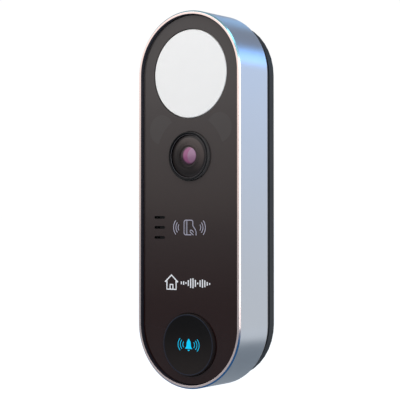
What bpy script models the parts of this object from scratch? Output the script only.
"""Video doorbell: an upright wall unit with rounded ends, built as its separate pieces.

Metres, +Z up. The wall is the plane y = 0, the front faces -Y, and the origin is the middle of the wall
bracket's back. A height is a distance out from the wall, so a point at height h lies at y = -h.
"""

import math

import bmesh
import bpy
from mathutils import Vector

MM = 0.001

# Overall
WIDTH = 50.0 * MM
HEIGHT = 150.0 * MM
FRAME_DEPTH = 19.9 * MM
HOUSING_SHOW = 4.2 * MM  # how far the rear housing stands out behind the frame
BRACKET_THICKNESS = 3.3 * MM
REAR_INSET = 2.2 * MM
ARC_CENTRE = HEIGHT / 2 - WIDTH / 2  # how far the round ends' centres are above and below the middle
GAP = 0.3 * MM  # between pieces that touch
SLIDE = 0.3 * MM  # round a piece that slides

# Frame
LIP_WIDTH = 1.54 * MM
FRONT_CHAMFER = 0.75 * MM
REAR_CHAMFER = 0.4 * MM
LEDGE_WIDTH = 1.6 * MM
LEDGE_THICKNESS = 1.6 * MM
FRAME_WALL = 1.8 * MM
PAD_RADIUS = 2.4 * MM
PAD_STEP = 0.1 * MM  # how much thinner the screw pads are than the ledge, on each side

# Panel and what bonds it
PANEL_RECESS = 1.5 * MM
PANEL_THICKNESS = 2.0 * MM
TAPE_THICKNESS = 0.5 * MM
TAPE_WIDTH = 1.2 * MM
SLOT_LENGTH = 5.3 * MM
SLOT_WIDTH = 1.1 * MM
SLOT_DEPTH = 0.8 * MM
SLOT_HOLE_RADIUS = 0.5 * MM
SLOT_PITCH = 4.04 * MM
SLOT_HOLE_OFFSET = -1.0 * MM
MESH_MARGIN = 0.7 * MM  # how far the cloth behind the slots reaches past them

# Motion sensor
PIR_CENTRE = (0.0, ARC_CENTRE)
PIR_RADIUS = 17.6 * MM
PIR_DOME = 0.35 * MM  # how far the middle of the lens stands out past the panel
PIR_WALL = 0.8 * MM
PIR_RIM_DROP = 0.1 * MM  # from the panel's front back to the rim of the lens
FLANGE_WIDTH = 1.1 * MM
FLANGE_THICKNESS = 0.7 * MM
PIR_CAN_RADIUS = 4.1 * MM
PIR_CAN_HEIGHT = 4.7 * MM
FUNNEL_WALL = 0.9 * MM
FUNNEL_CLEARANCE = 1.2 * MM  # round the sensor's can

# Camera
CAMERA_DROP = 32.9 * MM  # from the motion sensor's centre down to the camera's
CAMERA_CENTRE = (0.0, PIR_CENTRE[1] - CAMERA_DROP)
BEZEL_RADIUS = 9.675 * MM
BEZEL_WALL = 1.95 * MM
BEZEL_DROP = 0.05 * MM  # from the front of the frame back to the bezel
NOSE_DROP = 0.4 * MM  # from the bezel back to the nose
NOSE_CONE = 0.85 * MM  # how far the cone rises from its rim to the lens
BARREL_RADIUS = 4.5 * MM
BARREL_LENGTH = 8.3 * MM
BARREL_DROP = 0.35 * MM  # from the bezel back to the barrel
APERTURE_RADIUS = 2.5 * MM
LENS_RADIUS = 3.65 * MM
LENS_BULGE = 0.5 * MM
REAR_LENS_THICKNESS = 1.8 * MM
SENSOR_SIZE = (6.4 * MM, 5.0 * MM)
CAMERA_BOARD_SIZE = 16.0 * MM
HOLDER_SIZE = 13.0 * MM

# Infrared light
IR_OFFSET = (14.2 * MM, 11.0 * MM)  # from the camera's centre to each window's
IR_WINDOW_RADIUS = 5.9 * MM
IR_WINDOW_THICKNESS = 0.8 * MM
IR_CLEAR_RADIUS = 16.4 * MM  # the windows stop this far from the camera's axis
IR_LED_SIZE = 3.5 * MM
IR_LED_HEIGHT = 2.0 * MM
IR_LED_TO_CHASSIS = 1.8 * MM  # from the chassis' back to the board the LEDs are on
IR_LED_SHIFT = 1.0 * MM  # the LEDs sit this much further from the camera than the windows' centres
IR_BOARD_SIZE = (38.0 * MM, 5.4 * MM)

# Sound
SLOT_SIDE = 9.95 * MM  # from the unit's left side to the middle of the slots
SLOT_DROP = 28.4 * MM  # from the camera's centre down to the middle slot
SLOT_MIDDLE = (SLOT_SIDE - WIDTH / 2, CAMERA_CENTRE[1] - SLOT_DROP)
SPEAKER_SIZE = (16.0 * MM, 11.4 * MM)
SPEAKER_DEPTH = 4.0 * MM
SPEAKER_SHIFT = 4.0 * MM  # how far the speaker is to the right of the slots
GASKET_WIDTH = 1.2 * MM
GASKET_THICKNESS = 0.6 * MM
MIC_SIZE = (3.8 * MM, 3.0 * MM)
MIC_HEIGHT = 1.1 * MM
BOOT_RADIUS = 1.7 * MM
MIC_SHIFT = 2.2 * MM
PORT_RADIUS = 0.7 * MM

# Card reader
ANTENNA_CENTRE = (4.5 * MM, SLOT_MIDDLE[1] - 10.7 * MM)
ANTENNA_SIZE = (27.0 * MM, 31.0 * MM)
ANTENNA_THICKNESS = 0.5 * MM
ANTENNA_TRACK = 4.0 * MM

# Call button
BUTTON_RADIUS = 12.3 * MM
BUTTON_MARGIN = 5.1 * MM  # from the bottom of the unit up to the button
BUTTON_CENTRE = (0.0, BUTTON_MARGIN + BUTTON_RADIUS - HEIGHT / 2)
BUTTON_TRAVEL = 0.8 * MM
BUTTON_DROP = 0.1 * MM  # from the front of the frame back to the button's rim
BUTTON_EDGE = 0.25 * MM
BUTTON_RIM = 1.0 * MM
BUTTON_DISH = 0.65 * MM
BUTTON_WALL = 1.1 * MM
BUTTON_FLANGE = 0.8 * MM
SEAL_WIDTH = 0.55 * MM
GUIDE_RADIUS = 8.5 * MM
GUIDE_THICKNESS = 1.4 * MM
GUIDE_POST = 1.5 * MM
SWITCH_SIZE = 6.2 * MM
SWITCH_HEIGHT = 3.4 * MM
PLUNGER_RADIUS = 1.8 * MM
PLUNGER_LENGTH = 1.7 * MM  # inside the switch, and as much again outside it
ICON_LED_SIZE = (3.2 * MM, 2.8 * MM)
ICON_LED_HEIGHT = 1.5 * MM
ICON_LED_OFFSET = 6.0 * MM

# Boards and chassis
CHASSIS_THICKNESS = 1.6 * MM
BOARD_STANDOFF = 6.5 * MM
BOARD_THICKNESS = 1.2 * MM
SMALL_BOARD = 1.0 * MM
CAMERA_BOARD_LIFT = 1.0 * MM  # the camera's board above the main board
BOARD_SIDE = 10.0 * MM  # from each side of the unit to the main board
BOARD_CORNER = 2.5 * MM
BOARD_ROOM = 1.51 * MM  # from the main board's corners to the rear housing's wall
BOARD_POST = (WIDTH / 2 - BOARD_SIDE - 3.0 * MM, ARC_CENTRE - 12.0 * MM)

# Rear housing
HOUSING_WALL = 1.8 * MM
HOUSING_FLOOR = 2.0 * MM
SPIGOT = 4.2 * MM  # how far the rear housing reaches into the frame
SEAL_START = 2.1 * MM  # from the frame's back edge forward to the seal
SEAL_HEIGHT = 1.0 * MM
SEAL_DEPTH = 0.7 * MM
BOSS_CENTRE = (WIDTH / 2 - 6.4 * MM, ARC_CENTRE + 2.0 * MM)
BOSS_RADIUS = 3.2 * MM
BOSS_STEP = 0.2 * MM  # how far the rear housing's bosses stop short of its rim
PAD_DROP = 12.0 * MM  # from a round end's centre to the pads

# Terminals and reset button
TERMINAL_CENTRE = (0.0, -15.0 * MM)
TERMINAL_SIZE = (19.0 * MM, 11.0 * MM)
TERMINAL_RISE = 1.3 * MM  # how far the block stands out behind the rear housing
TERMINAL_PITCH = 9.6 * MM
TERMINAL_FLANGE = 1.5 * MM
TERMINAL_FLANGE_THICKNESS = 1.4 * MM
TERMINAL_THREAD = 1.5 * MM
TERMINAL_HEAD = 2.6 * MM
TERMINAL_WELL = 6.0 * MM
DRIVER_SLOT = (0.7 * MM, 0.6 * MM)  # width and depth
RESET_CENTRE = (0.0, 18.0 * MM)
RESET_RADIUS = 2.0 * MM
RESET_TRAVEL = 0.4 * MM
RESET_FLANGE = 0.8 * MM
RESET_FLANGE_THICKNESS = 0.9 * MM
RESET_STEM = 1.0 * MM
RESET_SWITCH_SIZE = 5.0 * MM
RESET_SWITCH_HEIGHT = 1.8 * MM
RESET_PLUNGER_RADIUS = 1.2 * MM
RESET_PLUNGER_OUT = 0.8 * MM
RESET_PLUNGER_IN = 0.9 * MM
SHIELD_ROOM = 5.0 * MM  # from the reset switch's middle and the upper round end's centre to the shield can

# Bracket
CABLE_OPENING = (24.0 * MM, 28.0 * MM)
CABLE_CENTRE = (0.0, -22.3 * MM)
WALL_HOLES = (ARC_CENTRE - 8.0 * MM, 3.0 * MM - ARC_CENTRE)
WALL_HOLE_RADIUS = 2.2 * MM
WALL_SEAT_RADIUS = 4.2 * MM
WALL_SEAT_DEPTH = 2.0 * MM
RESET_ACCESS = 2.0 * MM  # how much wider the bracket's hole is than the reset button, all round
HOOK_WIDTH = 8.0 * MM
HOOK_THICKNESS = 1.6 * MM
HOOK_LIP = 1.8 * MM
LIP_STEP = 0.2 * MM  # the hook's lip is a little smaller than its stem
HOOK_REACH = 3.9 * MM  # how far the hook and the tab go into the rear housing's pockets
HOOK_HEIGHT = HEIGHT / 2 - 11.0 * MM
TAB_HEIGHT = 7.4 * MM - HEIGHT / 2
TAB_THICKNESS = 2.2 * MM
POCKET_WALL = 1.5 * MM

# Screws: an M2 thread in holes with room round it
THREAD = 1.0 * MM
SCREW_HOLE = THREAD + GAP
HEAD = 1.9 * MM
SCREW_REACH = 5.3 * MM  # how far the housing screws go into the chassis
HEAD_HEIGHT = 1.3 * MM
COUNTERBORE_DEPTH = 2.2 * MM
SECURITY_HEAD = 1.6 * MM

# Heights above the wall, from the wall outwards
BRACKET_FRONT = BRACKET_THICKNESS
HOUSING_BACK = BRACKET_FRONT + GAP
FLOOR_FRONT = HOUSING_BACK + HOUSING_FLOOR
FRAME_BACK = HOUSING_BACK + HOUSING_SHOW
HOUSING_RIM = FRAME_BACK + SPIGOT
FRONT = FRAME_BACK + FRAME_DEPTH
PANEL_FRONT = FRONT - PANEL_RECESS
PANEL_BACK = PANEL_FRONT - PANEL_THICKNESS
TAPE_FRONT = PANEL_BACK - GAP
TAPE_BACK = TAPE_FRONT - TAPE_THICKNESS
LEDGE_FRONT = TAPE_BACK - GAP
LEDGE_BACK = LEDGE_FRONT - LEDGE_THICKNESS
CHASSIS_FRONT = LEDGE_BACK - GAP
CHASSIS_BACK = CHASSIS_FRONT - CHASSIS_THICKNESS
BOARD_FRONT = CHASSIS_BACK - BOARD_STANDOFF
BOARD_BACK = BOARD_FRONT - BOARD_THICKNESS
ON_BOARD = BOARD_FRONT + GAP
UNDER_BOARD = BOARD_BACK - GAP

ARC_STEPS = 20  # round half of the outline
LARGE_ROUND = 40
ROUND = 32
MEDIUM_ROUND = 20
SMALL_ROUND = 12

parts = None
helpers = None


def clear_scene():
    for old in list(bpy.data.objects):
        bpy.data.objects.remove(old, do_unlink=True)


def make_collections():
    global parts, helpers
    parts = bpy.data.collections.new("video_doorbell")
    helpers = bpy.data.collections.new("cutters")
    bpy.context.scene.collection.children.link(parts)
    bpy.context.scene.collection.children.link(helpers)


def finish(name, colour, roughness, metallic=0.0, alpha=1.0):
    material = bpy.data.materials.new(name)
    material.use_nodes = True
    shader = material.node_tree.nodes["Principled BSDF"]
    shader.inputs["Base Color"].default_value = (*colour, 1.0)
    shader.inputs["Roughness"].default_value = roughness
    shader.inputs["Metallic"].default_value = metallic
    shader.inputs["Alpha"].default_value = alpha
    return material


def add_object(name, mesh, material=None):
    """An object in the parts' collection, or a hidden helper if it has no material."""
    obj = bpy.data.objects.new(name, mesh)
    if material:
        mesh.materials.append(material)
        mesh.shade_smooth()
        mesh.set_sharp_from_angle(angle=math.radians(35))
        parts.objects.link(obj)
    else:
        obj.hide_render = True
        obj.display_type = "WIRE"
        helpers.objects.link(obj)
    return obj


def boolean(target, other, operation):
    modifier = target.modifiers.new(other.name, "BOOLEAN")
    modifier.object = other
    modifier.operation = operation
    modifier.solver = "EXACT"


def cut(target, *others):
    for other in others:
        boolean(target, other, "DIFFERENCE")


def join(target, *others):
    for other in others:
        boolean(target, other, "UNION")


# Outlines, as (x, z) points


def circle(centre, radius, steps=ROUND):
    turns = [2 * math.pi * i / steps for i in range(steps)]
    return [(centre[0] + radius * math.cos(a), centre[1] + radius * math.sin(a)) for a in turns]


def stadium(inset, arc_steps=ARC_STEPS):
    """The unit's outline, moved inwards by inset."""
    radius = WIDTH / 2 - inset
    points = []
    for side in (1, -1):
        for i in range(arc_steps + 1):
            turn = math.pi * i / arc_steps
            points.append((side * radius * math.cos(turn), side * (ARC_CENTRE + radius * math.sin(turn))))
    return points


def pill(centre, length, width, arc_steps=6):
    points = []
    for side in (1, -1):
        for i in range(arc_steps + 1):
            turn = math.pi * i / arc_steps - math.pi / 2
            x = centre[0] + side * ((length - width) / 2 + width / 2 * math.cos(turn))
            points.append((x, centre[1] + side * width / 2 * math.sin(turn)))
    return points


def rounded_box(centre, size, radius, corner_steps=3):
    points = []
    for quarter in range(4):
        sx = 1 if quarter in (0, 3) else -1
        sz = 1 if quarter < 2 else -1
        corner_x = centre[0] + sx * (size[0] / 2 - radius)
        corner_z = centre[1] + sz * (size[1] / 2 - radius)
        for i in range(corner_steps + 1):
            turn = math.pi / 2 * (quarter + i / corner_steps)
            points.append((corner_x + radius * math.cos(turn), corner_z + radius * math.sin(turn)))
    return points


def ir_window(side):
    """A disc beside the camera, cut back by a circle round the camera's axis."""
    camera = Vector(CAMERA_CENTRE)
    away = Vector(IR_OFFSET)
    centre = camera + away
    distance = away.length
    along = (distance**2 + IR_CLEAR_RADIUS**2 - IR_WINDOW_RADIUS**2) / (2 * distance)
    outer_half = math.acos((distance - along) / IR_WINDOW_RADIUS)
    inner_half = math.acos(along / IR_CLEAR_RADIUS)
    heading = math.atan2(away.y, away.x)
    points = []
    for i in range(17):
        turn = heading + math.pi + outer_half + (2 * math.pi - 2 * outer_half) * i / 16
        points.append(centre + IR_WINDOW_RADIUS * Vector((math.cos(turn), math.sin(turn))))
    for i in range(1, 6):
        turn = heading + inner_half - 2 * inner_half * i / 6
        points.append(camera + IR_CLEAR_RADIUS * Vector((math.cos(turn), math.sin(turn))))
    return [(side * p.x, p.y) for p in points]


# Solids


def plate(name, loops, low, high, material=None):
    """A flat piece between two heights. The first loop is its outline and the others are holes."""
    curve = bpy.data.curves.new(name, "CURVE")
    curve.dimensions = "2D"
    curve.fill_mode = "BOTH"
    curve.extrude = (high - low) / 2
    for loop in loops:
        spline = curve.splines.new("POLY")
        spline.points.add(len(loop) - 1)
        for point, (x, z) in zip(spline.points, loop):
            point.co = (x, z, 0.0, 1.0)
        spline.use_cyclic_u = True
    flat = bpy.data.objects.new(name + "_outline", curve)
    flat.location = (0.0, -(low + high) / 2, 0.0)
    flat.rotation_euler = (math.pi / 2, 0.0, 0.0)
    bpy.context.scene.collection.objects.link(flat)
    bpy.context.view_layer.update()
    graph = bpy.context.evaluated_depsgraph_get()
    mesh = bpy.data.meshes.new_from_object(flat.evaluated_get(graph))
    place = flat.matrix_world.copy()
    bpy.data.objects.remove(flat, do_unlink=True)
    bm = bmesh.new()
    bm.from_mesh(mesh)
    bmesh.ops.remove_doubles(bm, verts=bm.verts, dist=1e-7)
    bmesh.ops.recalc_face_normals(bm, faces=bm.faces)
    bm.to_mesh(mesh)
    bm.free()
    mesh.materials.clear()
    obj = add_object(name, mesh, material)
    obj.matrix_world = place
    return obj


def block(name, centre, size, low, high, material=None, bevel=0.0):
    """A box of size (x, z) about centre, between two heights."""
    bm = bmesh.new()
    bmesh.ops.create_cube(bm, size=1.0)
    bmesh.ops.scale(bm, vec=(size[0], high - low, size[1]), verts=bm.verts)
    mesh = bpy.data.meshes.new(name)
    bm.to_mesh(mesh)
    bm.free()
    obj = add_object(name, mesh, material)
    obj.location = (centre[0], -(low + high) / 2, centre[1])
    if bevel:
        rounding = obj.modifiers.new("edges", "BEVEL")
        rounding.width = bevel
        rounding.segments = 1
    return obj


def turned(name, centre, profile, material=None, ring=False, steps=ROUND, upright=False):
    """A turned piece. profile holds (radius, height) from its top, down its outer side to its bottom.

    It turns about the front-to-back line through centre (x, z), or about the vertical one through centre
    (x, y) if it is upright. A ring's profile closes on itself, and any other starts and ends on the axis.
    """
    count = len(profile)
    ends = [(i, i + 1) for i in range(count - 1)]
    if ring:
        ends.append((count - 1, 0))
    mesh = bpy.data.meshes.new(name)
    mesh.from_pydata([(radius, 0.0, height) for radius, height in profile], ends, [])
    obj = add_object(name, mesh, material)
    screw = obj.modifiers.new("turn", "SCREW")
    screw.steps = steps
    screw.render_steps = steps
    screw.use_merge_vertices = True
    screw.merge_threshold = 1e-6
    screw.use_smooth_shade = False
    if upright:
        obj.location = (centre[0], centre[1], 0.0)
    else:
        obj.location = (centre[0], 0.0, centre[1])
        obj.rotation_euler = (math.pi / 2, 0.0, 0.0)
    return obj


def rod(name, centre, radius, low, high, material=None, steps=SMALL_ROUND, upright=False):
    profile = [(0.0, high), (radius, high), (radius, low), (0.0, low)]
    return turned(name, centre, profile, material, steps=steps, upright=upright)


def tube(name, centre, outer, inner, low, high, material=None, steps=ROUND):
    profile = [(outer, high), (outer, low), (inner, low), (inner, high)]
    return turned(name, centre, profile, material, ring=True, steps=steps)


def move_to_section(vert, inset, height):
    """Moves a point of the outline straight in or out to its place at another inset, and to another height."""
    centre = Vector((0.0, vert.co.y, max(-ARC_CENTRE, min(ARC_CENTRE, vert.co.z))))
    place = centre + (vert.co - centre).normalized() * (WIDTH / 2 - inset)
    vert.co = (place.x, -height, place.z)


def lofted(name, sections, material, closed=False):
    """A shell through copies of the unit's outline. sections holds (inset, height) of each, in order."""
    bm = bmesh.new()
    inset, height = sections[0]
    ring = [bm.verts.new((x, -height, z)) for x, z in stadium(inset)]
    edges = [bm.edges.new((ring[i - 1], ring[i])) for i in range(len(ring))]
    first = list(edges)
    for inset, height in sections[1:] + (sections[:1] if closed else []):
        made = bmesh.ops.extrude_edge_only(bm, edges=edges)["geom"]
        moved = {v for v in made if isinstance(v, bmesh.types.BMVert)}
        edges = [e for e in made if isinstance(e, bmesh.types.BMEdge) and moved.issuperset(e.verts)]
        for vert in moved:
            move_to_section(vert, inset, height)
    if closed:
        bmesh.ops.remove_doubles(bm, verts=bm.verts, dist=1e-6)
    else:
        bmesh.ops.contextual_create(bm, geom=first)
        bmesh.ops.contextual_create(bm, geom=edges)
    bmesh.ops.recalc_face_normals(bm, faces=bm.faces)
    mesh = bpy.data.meshes.new(name)
    bm.to_mesh(mesh)
    bm.free()
    return add_object(name, mesh, material)


def rear_driven_screw(name, centre, head_low, tip, head, material, upright=False):
    """A socket screw whose head is at its low end."""
    top = head_low + HEAD_HEIGHT
    socket = head_low + HEAD_HEIGHT / 2
    profile = [
        (0.0, tip),
        (THREAD, tip - THREAD / 3),
        (THREAD, top),
        (head, top),
        (head, head_low),
        (head / 2, head_low),
        (head / 2, socket),
        (0.0, socket),
    ]
    return turned(name, centre, profile, material, steps=SMALL_ROUND, upright=upright)


def corners(point):
    """The four mirror images of a point, right to left and top to bottom."""
    return [(sx * point[0], sz * point[1]) for sz in (1, -1) for sx in (1, -1)]


# The pieces


def make_frame(metal):
    pocket = LIP_WIDTH
    ledge = LIP_WIDTH + LEDGE_WIDTH
    sections = [
        (FRONT_CHAMFER, FRONT),
        (0.0, FRONT - FRONT_CHAMFER),
        (0.0, FRAME_BACK + REAR_CHAMFER),
        (REAR_CHAMFER, FRAME_BACK),
        (FRAME_WALL, FRAME_BACK),
        (FRAME_WALL, LEDGE_BACK),
        (ledge, LEDGE_BACK),
        (ledge, LEDGE_FRONT),
        (pocket, LEDGE_FRONT),
        (pocket, FRONT),
    ]
    frame = lofted("front_frame", sections, metal, closed=True)
    for i, centre in enumerate(pad_places()):
        low = LEDGE_BACK + PAD_STEP
        high = LEDGE_FRONT - PAD_STEP
        join(frame, tube(f"pad_{i}", centre, PAD_RADIUS, SCREW_HOLE, low, high, steps=SMALL_ROUND))


def pad_places():
    """The chassis screws: upper right and lower left, beside the main board."""
    x = WIDTH / 2 - LIP_WIDTH - LEDGE_WIDTH - SCREW_HOLE - GAP
    z = ARC_CENTRE - PAD_DROP
    return [(x, z), (-x, -z)]


def slot_centres():
    return [(SLOT_MIDDLE[0], SLOT_MIDDLE[1] + SLOT_PITCH * i) for i in (1, 0, -1)]


def make_panel(gloss, tape, cloth):
    panel = plate("front_panel", [stadium(LIP_WIDTH + GAP)], PANEL_BACK, PANEL_FRONT, gloss)
    round_holes = [
        ("motion_sensor_hole", PIR_CENTRE, PIR_RADIUS + GAP, LARGE_ROUND),
        ("camera_hole", CAMERA_CENTRE, BEZEL_RADIUS + GAP, ROUND),
        ("button_hole", BUTTON_CENTRE, BUTTON_RADIUS + SLIDE, ROUND),
    ]
    for name, centre, radius, steps in round_holes:
        cut(panel, rod(name, centre, radius, PANEL_BACK - GAP, PANEL_FRONT + GAP, steps=steps))
    slot_floor = PANEL_FRONT - SLOT_DEPTH
    for i, centre in enumerate(slot_centres()):
        cut(panel, plate(f"slot_{i}", [pill(centre, SLOT_LENGTH, SLOT_WIDTH)], slot_floor, FRONT))
    for i, (x, z) in enumerate(slot_centres()):
        place = (x + SLOT_HOLE_OFFSET, z)
        cut(panel, rod(f"slot_hole_{i}", place, SLOT_HOLE_RADIUS, PANEL_BACK - GAP, slot_floor + GAP))
    inner = LIP_WIDTH + GAP + TAPE_WIDTH
    plate("panel_tape", [stadium(LIP_WIDTH + GAP), stadium(inner)], TAPE_BACK, TAPE_FRONT, tape)
    mesh_size = (SLOT_LENGTH + 2 * MESH_MARGIN, 2 * SLOT_PITCH + SLOT_WIDTH + 2 * MESH_MARGIN)
    mesh_outline = rounded_box(SLOT_MIDDLE, mesh_size, 1.0 * MM)
    plate("slot_mesh", [mesh_outline], TAPE_FRONT - GAP, TAPE_FRONT, cloth)


def make_motion_sensor(lens, black, metal):
    flange = PIR_RADIUS + FLANGE_WIDTH
    rim = PANEL_FRONT - PIR_RIM_DROP
    inside = PIR_RADIUS - PIR_WALL
    dome = [(PIR_RADIUS * s, rim + PIR_DOME * (1 - s**2)) for s in (0.0, 0.25, 0.5, 0.75, 0.97)]
    under = [(inside * s, rim + PIR_DOME * (1 - s**2) - PIR_WALL) for s in (0.97, 0.5, 0.0)]
    profile = dome + [
        (PIR_RADIUS, rim - 0.2 * MM),
        (PIR_RADIUS, TAPE_FRONT),
        (flange, TAPE_FRONT),
        (flange, TAPE_FRONT - FLANGE_THICKNESS),
        (inside, TAPE_FRONT - FLANGE_THICKNESS),
        (inside, rim - PIR_WALL - 0.3 * MM),
    ]
    turned("pir_lens", PIR_CENTRE, profile + under, lens, steps=LARGE_ROUND)
    mouth_top = TAPE_FRONT - FLANGE_THICKNESS - GAP
    throat = PIR_CAN_RADIUS + FUNNEL_CLEARANCE
    throat_end = ON_BOARD + PIR_CAN_HEIGHT / 2
    throat_top = throat_end + FUNNEL_WALL
    funnel = [
        (PIR_RADIUS, mouth_top),
        (throat + FUNNEL_WALL, throat_top),
        (throat + FUNNEL_WALL, throat_end),
        (throat, throat_end),
        (throat, throat_top),
        (PIR_RADIUS - FUNNEL_WALL, mouth_top),
    ]
    turned("pir_shroud", PIR_CENTRE, funnel, black, ring=True)
    can_top = ON_BOARD + PIR_CAN_HEIGHT
    edge = 0.4 * MM
    foot = 0.5 * MM
    can = [
        (0.0, can_top),
        (PIR_CAN_RADIUS - edge, can_top),
        (PIR_CAN_RADIUS, can_top - edge),
        (PIR_CAN_RADIUS, ON_BOARD + foot),
        (PIR_CAN_RADIUS + foot, ON_BOARD + foot),
        (PIR_CAN_RADIUS + foot, ON_BOARD),
        (0.0, ON_BOARD),
    ]
    turned("pir_sensor", PIR_CENTRE, can, metal, steps=MEDIUM_ROUND)


def make_camera(gloss, satin, black, glass, board, silicon):
    front = FRONT - BEZEL_DROP
    edge = 0.3 * MM
    bore = BEZEL_RADIUS - BEZEL_WALL
    flange = BEZEL_RADIUS + FLANGE_WIDTH
    flange_back = TAPE_FRONT - FLANGE_THICKNESS
    bezel = [
        (BEZEL_RADIUS - 3 * edge, front),
        (BEZEL_RADIUS - edge, front),
        (BEZEL_RADIUS, front - edge),
        (BEZEL_RADIUS, TAPE_FRONT),
        (flange, TAPE_FRONT),
        (flange, flange_back),
        (bore, flange_back),
        (bore, front - NOSE_DROP - NOSE_CONE),
    ]
    turned("camera_bezel", CAMERA_CENTRE, bezel, gloss, ring=True)
    nose_radius = bore - GAP
    nose_bore = BARREL_RADIUS + GAP
    nose_back = flange_back - GAP - FLANGE_THICKNESS
    nose = [
        (nose_bore, front - NOSE_DROP),
        (nose_radius, front - NOSE_DROP - NOSE_CONE),
        (nose_radius, flange_back - GAP),
        (flange, flange_back - GAP),
        (flange, nose_back),
        (nose_bore, nose_back),
    ]
    turned("camera_nose", CAMERA_CENTRE, nose, satin, ring=True)
    seat = LENS_RADIUS + GAP
    barrel_top = front - BARREL_DROP
    barrel_back = barrel_top - BARREL_LENGTH
    lens_seat = barrel_top - 0.9 * MM
    barrel = [
        (seat, barrel_top),
        (BARREL_RADIUS, barrel_top),
        (BARREL_RADIUS, barrel_back),
        (APERTURE_RADIUS, barrel_back),
        (APERTURE_RADIUS, lens_seat),
        (seat, lens_seat),
    ]
    turned("lens_barrel", CAMERA_CENTRE, barrel, black, ring=True, steps=MEDIUM_ROUND)
    lens_edge = front - LENS_BULGE
    bulge = [(LENS_RADIUS * s, lens_edge + LENS_BULGE * (1 - s**2)) for s in (0.0, 0.35, 0.7, 1.0)]
    lens = bulge + [(LENS_RADIUS, lens_seat + GAP), (0.0, lens_seat + GAP)]
    turned("front_lens", CAMERA_CENTRE, lens, glass, steps=MEDIUM_ROUND)
    rear_middle = barrel_back + REAR_LENS_THICKNESS
    rear_radius = APERTURE_RADIUS - GAP
    half = REAR_LENS_THICKNESS / 2
    edge_half = 0.4 * MM
    rear = [
        (0.0, rear_middle + half),
        (rear_radius, rear_middle + edge_half),
        (rear_radius, rear_middle - edge_half),
        (0.0, rear_middle - half),
    ]
    turned("rear_lens", CAMERA_CENTRE, rear, glass, steps=SMALL_ROUND)
    board_back = ON_BOARD + CAMERA_BOARD_LIFT
    board_top = board_back + SMALL_BOARD
    holder_outline = rounded_box(CAMERA_CENTRE, (HOLDER_SIZE, HOLDER_SIZE), 0.8 * MM, 2)
    holder_loops = [holder_outline, circle(CAMERA_CENTRE, BARREL_RADIUS + GAP, MEDIUM_ROUND)]
    plate("lens_holder", holder_loops, board_top + GAP, CHASSIS_BACK - GAP, black)
    square = (CAMERA_BOARD_SIZE, CAMERA_BOARD_SIZE)
    block("camera_board", CAMERA_CENTRE, square, board_back, board_top, board)
    sensor_low = board_top + GAP
    block("image_sensor", CAMERA_CENTRE, SENSOR_SIZE, sensor_low, sensor_low + 0.9 * MM, silicon)


def make_infrared(window, board, led):
    board_top = CHASSIS_BACK - IR_LED_TO_CHASSIS
    led_low = board_top + GAP
    for side, label in ((-1, "left"), (1, "right")):
        window_loop = ir_window(side)
        plate(f"ir_window_{label}", [window_loop], TAPE_FRONT - IR_WINDOW_THICKNESS, TAPE_FRONT, window)
        centre = led_centre(side)
        size = (IR_LED_SIZE, IR_LED_SIZE)
        block(f"ir_led_{label}", centre, size, led_low, led_low + IR_LED_HEIGHT, led, bevel=0.3 * MM)
    board_centre = (0.0, led_centre(1)[1])
    block("ir_board", board_centre, IR_BOARD_SIZE, board_top - SMALL_BOARD, board_top, board)


def led_centre(side):
    away = Vector(IR_OFFSET)
    place = Vector(CAMERA_CENTRE) + away * (1 + IR_LED_SHIFT / away.length)
    return (side * place.x, place.y)


def speaker_centre():
    """Behind the upper two slots, clear of the microphone's boot."""
    low = SLOT_MIDDLE[1] - SLOT_PITCH + BOOT_RADIUS + GAP
    return (SLOT_MIDDLE[0] + SPEAKER_SHIFT, low + SPEAKER_SIZE[1] / 2)


def make_sound(black, foam, rubber, metal):
    centre = speaker_centre()
    outer = rounded_box(centre, SPEAKER_SIZE, 2.0 * MM)
    inner_size = (SPEAKER_SIZE[0] - 2 * GASKET_WIDTH, SPEAKER_SIZE[1] - 2 * GASKET_WIDTH)
    inner = rounded_box(centre, inner_size, 1.0 * MM)
    gasket_top = CHASSIS_BACK - GAP
    gasket_low = gasket_top - GASKET_THICKNESS
    plate("speaker_gasket", [outer, inner], gasket_low, gasket_top, foam)
    speaker_top = gasket_low - GAP
    plate("speaker", [outer], speaker_top - SPEAKER_DEPTH, speaker_top, black)
    mic = mic_centre()
    mic_top = ON_BOARD + MIC_HEIGHT
    block("microphone", mic, MIC_SIZE, ON_BOARD, mic_top, metal)
    tube("mic_boot", mic, BOOT_RADIUS, PORT_RADIUS, mic_top + GAP, CHASSIS_BACK - GAP, rubber, SMALL_ROUND)


def mic_centre():
    """Behind the lowest slot."""
    return (SLOT_MIDDLE[0] + MIC_SHIFT, SLOT_MIDDLE[1] - SLOT_PITCH)


def make_card_reader(copper, ferrite):
    outer = rounded_box(ANTENNA_CENTRE, ANTENNA_SIZE, 2.0 * MM)
    inner_size = (ANTENNA_SIZE[0] - 2 * ANTENNA_TRACK, ANTENNA_SIZE[1] - 2 * ANTENNA_TRACK)
    inner = rounded_box(ANTENNA_CENTRE, inner_size, 1.0 * MM)
    low = TAPE_FRONT - ANTENNA_THICKNESS
    plate("card_antenna", [outer, inner], low, TAPE_FRONT, copper)
    top = low - GAP
    plate("ferrite_sheet", [outer], top - ANTENNA_THICKNESS, top, ferrite)


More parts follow.
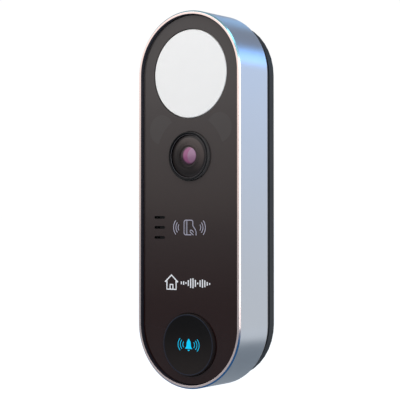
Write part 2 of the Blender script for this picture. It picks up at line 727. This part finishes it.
def make_call_button(satin, clear, rubber, black, led):
    rim_top = FRONT - BUTTON_DROP
    flange = BUTTON_RADIUS + BUTTON_FLANGE
    flange_back = CHASSIS_FRONT + GAP + BUTTON_TRAVEL
    dish_radius = BUTTON_RADIUS - BUTTON_RIM
    inside = BUTTON_RADIUS - BUTTON_WALL
    steps = (0.0, 0.3, 0.6, 0.85, 1.0)
    dish = [(dish_radius * s, rim_top - BUTTON_DISH * (1 - s**2)) for s in steps]
    under = rim_top - BUTTON_DISH - BUTTON_WALL
    cap = dish + [
        (BUTTON_RADIUS - BUTTON_EDGE, rim_top),
        (BUTTON_RADIUS, rim_top - BUTTON_EDGE),
        (BUTTON_RADIUS, TAPE_FRONT),
        (flange, TAPE_FRONT),
        (flange, flange_back),
        (inside, flange_back),
        (inside, under),
        (0.0, under),
    ]
    empty = bpy.data.objects.new("button_slide", None)
    empty.location = (BUTTON_CENTRE[0], 0.0, BUTTON_CENTRE[1])
    parts.objects.link(empty)
    button = turned("call_button", (0.0, 0.0), cap, satin)
    guide_top = under - GAP
    guide_low = guide_top - GUIDE_THICKNESS
    body_top = ON_BOARD + SWITCH_HEIGHT
    plunger_top = body_top + PLUNGER_LENGTH
    post_low = plunger_top + GAP
    guide = [
        (0.0, guide_top),
        (GUIDE_RADIUS, guide_top),
        (GUIDE_RADIUS, guide_low),
        (GUIDE_POST, guide_low),
        (GUIDE_POST, post_low),
        (0.0, post_low),
    ]
    light_guide = turned("button_light_guide", (0.0, 0.0), guide, clear, steps=MEDIUM_ROUND)
    button.parent = empty
    light_guide.parent = empty
    seal_inner = flange + SLIDE
    seal_outer = seal_inner + SEAL_WIDTH
    tube("button_seal", BUTTON_CENTRE, seal_outer, seal_inner, CHASSIS_FRONT + GAP, TAPE_FRONT, rubber)
    switch = block("call_switch", BUTTON_CENTRE, (SWITCH_SIZE, SWITCH_SIZE), ON_BOARD, body_top, black)
    well_floor = body_top - PLUNGER_LENGTH - BUTTON_TRAVEL - GAP
    cut(switch, rod("call_switch_well", BUTTON_CENTRE, PLUNGER_RADIUS + SLIDE, well_floor, body_top + GAP))
    rod("call_plunger", BUTTON_CENTRE, PLUNGER_RADIUS, body_top - PLUNGER_LENGTH, plunger_top, rubber)
    for side, label in ((-1, "left"), (1, "right")):
        centre = (BUTTON_CENTRE[0] + side * ICON_LED_OFFSET, BUTTON_CENTRE[1])
        block(f"icon_led_{label}", centre, ICON_LED_SIZE, ON_BOARD, ON_BOARD + ICON_LED_HEIGHT, led)


def make_chassis(plastic):
    camera_hole = BARREL_RADIUS + 1.7 * MM
    funnel_hole = PIR_RADIUS - 2.2 * MM
    sound_hole = (SPEAKER_SIZE[0] - 4 * MM, SPEAKER_SIZE[1] - 4 * MM)
    loops = [
        stadium(FRAME_WALL + GAP),
        circle(PIR_CENTRE, funnel_hole),
        circle(CAMERA_CENTRE, camera_hole, MEDIUM_ROUND),
        circle(BUTTON_CENTRE, GUIDE_RADIUS, MEDIUM_ROUND),
        rounded_box(speaker_centre(), sound_hole, 1.0 * MM),
        circle(mic_centre(), PORT_RADIUS, SMALL_ROUND),
    ]
    for side in (-1, 1):
        loops.append(circle(led_centre(side), IR_LED_SIZE, MEDIUM_ROUND))
    for place in pad_places():
        loops.append(circle(place, SCREW_HOLE, SMALL_ROUND))
    chassis = plate("chassis", loops, CHASSIS_BACK, CHASSIS_FRONT, plastic)
    bury = CHASSIS_BACK + CHASSIS_THICKNESS / 2
    end = HOUSING_RIM + GAP
    for i, place in enumerate(corners(BOSS_CENTRE)):
        join(chassis, rod(f"chassis_boss_{i}", place, BOSS_RADIUS, end, bury))
    for i, place in enumerate(post_places()):
        join(chassis, rod(f"board_post_{i}", place, PAD_RADIUS, ON_BOARD, bury))
    for i, place in enumerate(corners(BOSS_CENTRE)):
        cut(chassis, rod(f"chassis_bore_{i}", place, SCREW_HOLE, end - GAP, end + SCREW_REACH + GAP))
    for i, place in enumerate(post_places()):
        cut(chassis, rod(f"board_bore_{i}", place, SCREW_HOLE, ON_BOARD - GAP, CHASSIS_BACK - 0.5 * MM))


def post_places():
    """The main board's two screws, at its upper right and lower left."""
    return [BOARD_POST, (-BOARD_POST[0], -BOARD_POST[1])]


def make_boards(green, shield, ceramic, sleeve, dark):
    reach = WIDTH / 2 - REAR_INSET - HOUSING_WALL - BOARD_ROOM - BOARD_CORNER
    corner_x = WIDTH / 2 - BOARD_SIDE - BOARD_CORNER
    corner_z = ARC_CENTRE + math.sqrt(reach**2 - corner_x**2)
    size = (WIDTH - 2 * BOARD_SIDE, 2 * (corner_z + BOARD_CORNER))
    outline = rounded_box((0.0, 0.0), size, BOARD_CORNER)
    holes = [circle(place, SCREW_HOLE, SMALL_ROUND) for place in post_places()]
    plate("main_board", [outline] + holes, BOARD_BACK, BOARD_FRONT, green)
    top = UNDER_BOARD
    power_z = 3.0 * MM - ARC_CENTRE
    shield_low = RESET_CENTRE[1] + SHIELD_ROOM
    shield_high = ARC_CENTRE - SHIELD_ROOM
    shield_middle = (-2.0 * MM, (shield_low + shield_high) / 2)
    antenna_middle = (0.0, ARC_CENTRE + 6.0 * MM)
    block("shield_can", shield_middle, (20.0 * MM, shield_high - shield_low), top - 2.3 * MM, top, shield)
    block("wifi_antenna", antenna_middle, (18.0 * MM, 4.0 * MM), top - 0.8 * MM, top, ceramic)
    rod("power_capacitor", (-7.0 * MM, power_z), 5.0 * MM, top - 5.0 * MM, top, sleeve, MEDIUM_ROUND)
    block("power_inductor", (6.5 * MM, power_z), (8.0 * MM, 8.0 * MM), top - 4.0 * MM, top, dark, 0.8 * MM)


def make_terminals(black, brass):
    low = HOUSING_BACK - TERMINAL_RISE
    body = block("terminal_block", TERMINAL_CENTRE, TERMINAL_SIZE, low, UNDER_BOARD, black)
    flange_size = (TERMINAL_SIZE[0] + 2 * TERMINAL_FLANGE, TERMINAL_SIZE[1] + 2 * TERMINAL_FLANGE)
    flange_low = FLOOR_FRONT + GAP
    flange_high = flange_low + TERMINAL_FLANGE_THICKNESS
    join(body, block("terminal_flange", TERMINAL_CENTRE, flange_size, flange_low, flange_high))
    well_top = low + TERMINAL_WELL
    head_low = low - GAP - HEAD_HEIGHT
    tip = well_top - GAP
    for side, label in ((-1, "left"), (1, "right")):
        centre = (TERMINAL_CENTRE[0] + side * TERMINAL_PITCH / 2, TERMINAL_CENTRE[1])
        cut(body, rod(f"terminal_well_{label}", centre, TERMINAL_THREAD + GAP, low - GAP, well_top))
        profile = [
            (0.0, tip),
            (TERMINAL_THREAD, tip),
            (TERMINAL_THREAD, low - GAP),
            (TERMINAL_HEAD, low - GAP),
            (TERMINAL_HEAD, head_low),
            (0.0, head_low),
        ]
        screw = turned(f"terminal_screw_{label}", centre, profile, brass, steps=MEDIUM_ROUND)
        slot_size = (2.2 * TERMINAL_HEAD, DRIVER_SLOT[0])
        cut(screw, block(f"driver_slot_{label}", centre, slot_size, head_low - GAP, head_low + DRIVER_SLOT[1]))


def make_reset(rubber, black):
    flange = RESET_RADIUS + RESET_FLANGE
    back = HOUSING_BACK + GAP
    flange_low = FLOOR_FRONT + GAP
    flange_high = flange_low + RESET_FLANGE_THICKNESS
    body_low = UNDER_BOARD - RESET_SWITCH_HEIGHT
    plunger_low = body_low - RESET_PLUNGER_OUT
    plunger_high = body_low + RESET_PLUNGER_IN
    cap = [
        (0.0, plunger_low - GAP),
        (RESET_STEM, plunger_low - GAP),
        (RESET_STEM, flange_high),
        (flange, flange_high),
        (flange, flange_low),
        (RESET_RADIUS, flange_low),
        (RESET_RADIUS, back),
        (0.0, back),
    ]
    turned("reset_button", RESET_CENTRE, cap, rubber, steps=MEDIUM_ROUND)
    size = (RESET_SWITCH_SIZE, RESET_SWITCH_SIZE)
    body = block("reset_switch", RESET_CENTRE, size, body_low, UNDER_BOARD, black)
    well_top = plunger_high + RESET_TRAVEL + 0.2 * MM
    cut(body, rod("reset_well", RESET_CENTRE, RESET_PLUNGER_RADIUS + SLIDE, body_low - GAP, well_top))
    rod("reset_plunger", RESET_CENTRE, RESET_PLUNGER_RADIUS, plunger_low, plunger_high, rubber)


def make_housing(plastic, rubber):
    wall = REAR_INSET + HOUSING_WALL
    groove = REAR_INSET + SEAL_DEPTH + GAP
    seal_low = FRAME_BACK + SEAL_START
    seal_high = seal_low + SEAL_HEIGHT
    edge = 0.4 * MM
    sections = [
        (wall, FLOOR_FRONT),
        (wall, HOUSING_RIM),
        (REAR_INSET, HOUSING_RIM),
        (REAR_INSET, seal_high + GAP),
        (groove, seal_high + GAP),
        (groove, seal_low - GAP),
        (REAR_INSET, seal_low - GAP),
        (REAR_INSET, HOUSING_BACK + edge),
        (REAR_INSET + edge, HOUSING_BACK),
    ]
    housing = lofted("rear_housing", sections, plastic)
    outside = FRAME_WALL + GAP
    inside = groove - GAP
    ring = [(outside, seal_low), (outside, seal_high), (inside, seal_high), (inside, seal_low)]
    lofted("housing_seal", ring, rubber, closed=True)
    bury = HOUSING_BACK + HOUSING_FLOOR / 2
    for i, place in enumerate(corners(BOSS_CENTRE)):
        join(housing, rod(f"housing_boss_{i}", place, BOSS_RADIUS, bury, HOUSING_RIM - BOSS_STEP))
    hook_and_tab_pockets(housing)
    seat = HOUSING_BACK + COUNTERBORE_DEPTH
    hole = [
        (0.0, HOUSING_RIM + GAP),
        (SCREW_HOLE, HOUSING_RIM + GAP),
        (SCREW_HOLE, seat),
        (HEAD + GAP, seat),
        (HEAD + GAP, HOUSING_BACK - GAP),
        (0.0, HOUSING_BACK - GAP),
    ]
    for i, place in enumerate(corners(BOSS_CENTRE)):
        cut(housing, turned(f"housing_hole_{i}", place, hole, steps=SMALL_ROUND))
    window = (TERMINAL_SIZE[0] + 2 * GAP, TERMINAL_SIZE[1] + 2 * GAP)
    cut(housing, block("terminal_window", TERMINAL_CENTRE, window, HOUSING_BACK - GAP, FLOOR_FRONT + GAP))
    cut(housing, rod("reset_hole", RESET_CENTRE, RESET_RADIUS + SLIDE, HOUSING_BACK - GAP, FLOOR_FRONT + GAP))


def hook_depth():
    """How far the bracket's hook and tab reach into the rear housing, as a height."""
    return BRACKET_FRONT + GAP + HOOK_REACH


def hook_and_tab_pockets(housing):
    """Blocks inside the rear housing's floor, with the pockets that the bracket's hook and tab reach into."""
    roof = hook_depth() + GAP
    cover = roof + POCKET_WALL
    bury = HOUSING_BACK + HOUSING_FLOOR / 2
    block_width = HOOK_WIDTH + 2 * POCKET_WALL + 2 * GAP
    clear_width = HOOK_WIDTH + 2 * GAP
    hook_span = HOOK_THICKNESS + HOOK_LIP
    hook_middle = (0.0, HOOK_HEIGHT + hook_span / 2)
    tab_middle = (0.0, TAB_HEIGHT + TAB_THICKNESS / 2)
    wall_middle = -HEIGHT / 2 + REAR_INSET + HOUSING_WALL / 2
    tab_top = TAB_HEIGHT + TAB_THICKNESS + GAP + POCKET_WALL
    tab_block_middle = (0.0, (tab_top + wall_middle) / 2)
    hook_size = (block_width, hook_span + 2 * POCKET_WALL + 4 * GAP)
    join(housing, block("hook_block", hook_middle, hook_size, bury, cover))
    join(housing, block("tab_block", tab_block_middle, (block_width, tab_top - wall_middle), bury, cover))
    shelf = roof - HOOK_THICKNESS - 2 * GAP
    mouth = (clear_width, HOOK_THICKNESS + 2 * GAP)
    mouth_middle = (0.0, HOOK_HEIGHT + HOOK_THICKNESS / 2)
    cut(housing, block("hook_mouth", mouth_middle, mouth, HOUSING_BACK - GAP, roof - GAP))
    cavity = (clear_width + GAP, hook_span + 3 * GAP)
    cut(housing, block("hook_cavity", hook_middle, cavity, shelf, roof))
    pocket = (clear_width, TAB_THICKNESS + 2 * GAP)
    cut(housing, block("tab_pocket", tab_middle, pocket, HOUSING_BACK - GAP, roof))
    bottom = -HEIGHT / 2 + REAR_INSET
    axis = (0.0, -security_height())
    seat = bottom + HEAD_HEIGHT + 2 * GAP
    hole = [
        (0.0, security_tip() + GAP),
        (SCREW_HOLE, security_tip() + GAP),
        (SCREW_HOLE, seat),
        (SECURITY_HEAD + GAP, seat),
        (SECURITY_HEAD + GAP, bottom - GAP),
        (0.0, bottom - GAP),
    ]
    cut(housing, turned("security_hole", axis, hole, steps=SMALL_ROUND, upright=True))


def security_height():
    """The height above the wall of the security screw's axis: the middle of the rear housing's bare side."""
    return HOUSING_BACK + HOUSING_SHOW / 2


def security_tip():
    return TAB_HEIGHT + TAB_THICKNESS + GAP


def make_bracket(plastic):
    loops = [
        stadium(REAR_INSET),
        rounded_box(CABLE_CENTRE, CABLE_OPENING, 4.0 * MM),
        circle(RESET_CENTRE, RESET_RADIUS + RESET_ACCESS, MEDIUM_ROUND),
    ]
    bracket = plate("wall_bracket", loops, 0.0, BRACKET_FRONT, plastic)
    seat = BRACKET_FRONT - WALL_SEAT_DEPTH
    hole = [
        (0.0, BRACKET_FRONT + GAP),
        (WALL_SEAT_RADIUS, BRACKET_FRONT + GAP),
        (WALL_SEAT_RADIUS, seat),
        (WALL_HOLE_RADIUS, seat),
        (WALL_HOLE_RADIUS, -GAP),
        (0.0, -GAP),
    ]
    for i, z in enumerate(WALL_HOLES):
        cut(bracket, turned(f"wall_hole_{i}", (0.0, z), hole, steps=MEDIUM_ROUND))
    reach = hook_depth()
    bury = BRACKET_FRONT / 2
    stem_centre = (0.0, HOOK_HEIGHT + HOOK_THICKNESS / 2)
    join(bracket, block("hook_stem", stem_centre, (HOOK_WIDTH, HOOK_THICKNESS), bury, reach))
    span = HOOK_THICKNESS + HOOK_LIP
    lip_centre = (0.0, HOOK_HEIGHT + (span + LIP_STEP) / 2)
    lip_size = (HOOK_WIDTH - 2 * LIP_STEP, span - LIP_STEP)
    join(bracket, block("hook_lip", lip_centre, lip_size, reach - HOOK_THICKNESS + GAP, reach - LIP_STEP))
    tab_centre = (0.0, TAB_HEIGHT + TAB_THICKNESS / 2)
    join(bracket, block("tab", tab_centre, (HOOK_WIDTH, TAB_THICKNESS), bury, reach))
    axis = (0.0, -security_height())
    low = TAB_HEIGHT - GAP
    cut(bracket, rod("tab_hole", axis, SCREW_HOLE, low, low + TAB_THICKNESS + 2 * GAP, upright=True))


def make_screws(steel):
    for i, place in enumerate(corners(BOSS_CENTRE)):
        head_low = HOUSING_BACK + COUNTERBORE_DEPTH - HEAD_HEIGHT - GAP
        tip = HOUSING_RIM + GAP + SCREW_REACH
        rear_driven_screw(f"housing_screw_{i + 1}", place, head_low, tip, HEAD, steel)
    for i, place in enumerate(pad_places()):
        head_low = CHASSIS_BACK - GAP - HEAD_HEIGHT
        rear_driven_screw(f"chassis_screw_{i + 1}", place, head_low, LEDGE_FRONT, HEAD, steel)
    for i, place in enumerate(post_places()):
        head_low = BOARD_BACK - GAP - HEAD_HEIGHT
        tip = CHASSIS_BACK - 1.0 * MM
        rear_driven_screw(f"board_screw_{i + 1}", place, head_low, tip, HEAD, steel)
    axis = (0.0, -security_height())
    low = -HEIGHT / 2 + REAR_INSET + GAP
    rear_driven_screw("security_screw", axis, low, security_tip(), SECURITY_HEAD, steel, upright=True)


def main():
    clear_scene()
    make_collections()
    black = finish("black_plastic", (0.02, 0.02, 0.022), 0.5)
    satin = finish("satin_black", (0.03, 0.028, 0.03), 0.35)
    gloss = finish("gloss_black", (0.02, 0.017, 0.017), 0.06)
    metal = finish("brushed_metal", (0.62, 0.64, 0.68), 0.3, 1.0)
    steel = finish("steel", (0.5, 0.5, 0.5), 0.35, 1.0)
    brass = finish("brass", (0.6, 0.45, 0.2), 0.35, 1.0)
    copper = finish("copper_flex", (0.55, 0.3, 0.12), 0.4, 0.3)
    white = finish("white_plastic", (0.83, 0.83, 0.83), 0.45)
    glass = finish("coated_glass", (0.3, 0.15, 0.25), 0.05)
    clear = finish("clear_plastic", (0.7, 0.85, 0.9), 0.15, 0.0, 0.6)
    rubber = finish("rubber", (0.05, 0.05, 0.05), 0.8)
    foam = finish("foam", (0.08, 0.08, 0.08), 0.95)
    green = finish("circuit_board", (0.02, 0.12, 0.06), 0.4)
    silicon = finish("silicon", (0.08, 0.09, 0.12), 0.2, 0.5)
    led = finish("led", (0.85, 0.85, 0.7), 0.3)
    window = finish("infrared_window", (0.06, 0.04, 0.05), 0.15)
    grey = finish("dark_grey_plastic", (0.03, 0.036, 0.045), 0.5)
    ferrite = finish("ferrite", (0.07, 0.07, 0.075), 0.7)

    make_frame(metal)
    make_panel(gloss, foam, black)
    make_motion_sensor(white, black, metal)
    make_camera(gloss, satin, black, glass, green, silicon)
    make_infrared(window, green, led)
    make_sound(black, foam, rubber, metal)
    make_card_reader(copper, ferrite)
    make_call_button(satin, clear, rubber, black, led)
    make_chassis(black)
    make_boards(green, steel, white, black, black)
    make_terminals(black, brass)
    make_reset(rubber, black)
    make_housing(grey, rubber)
    make_bracket(grey)
    make_screws(steel)


main()
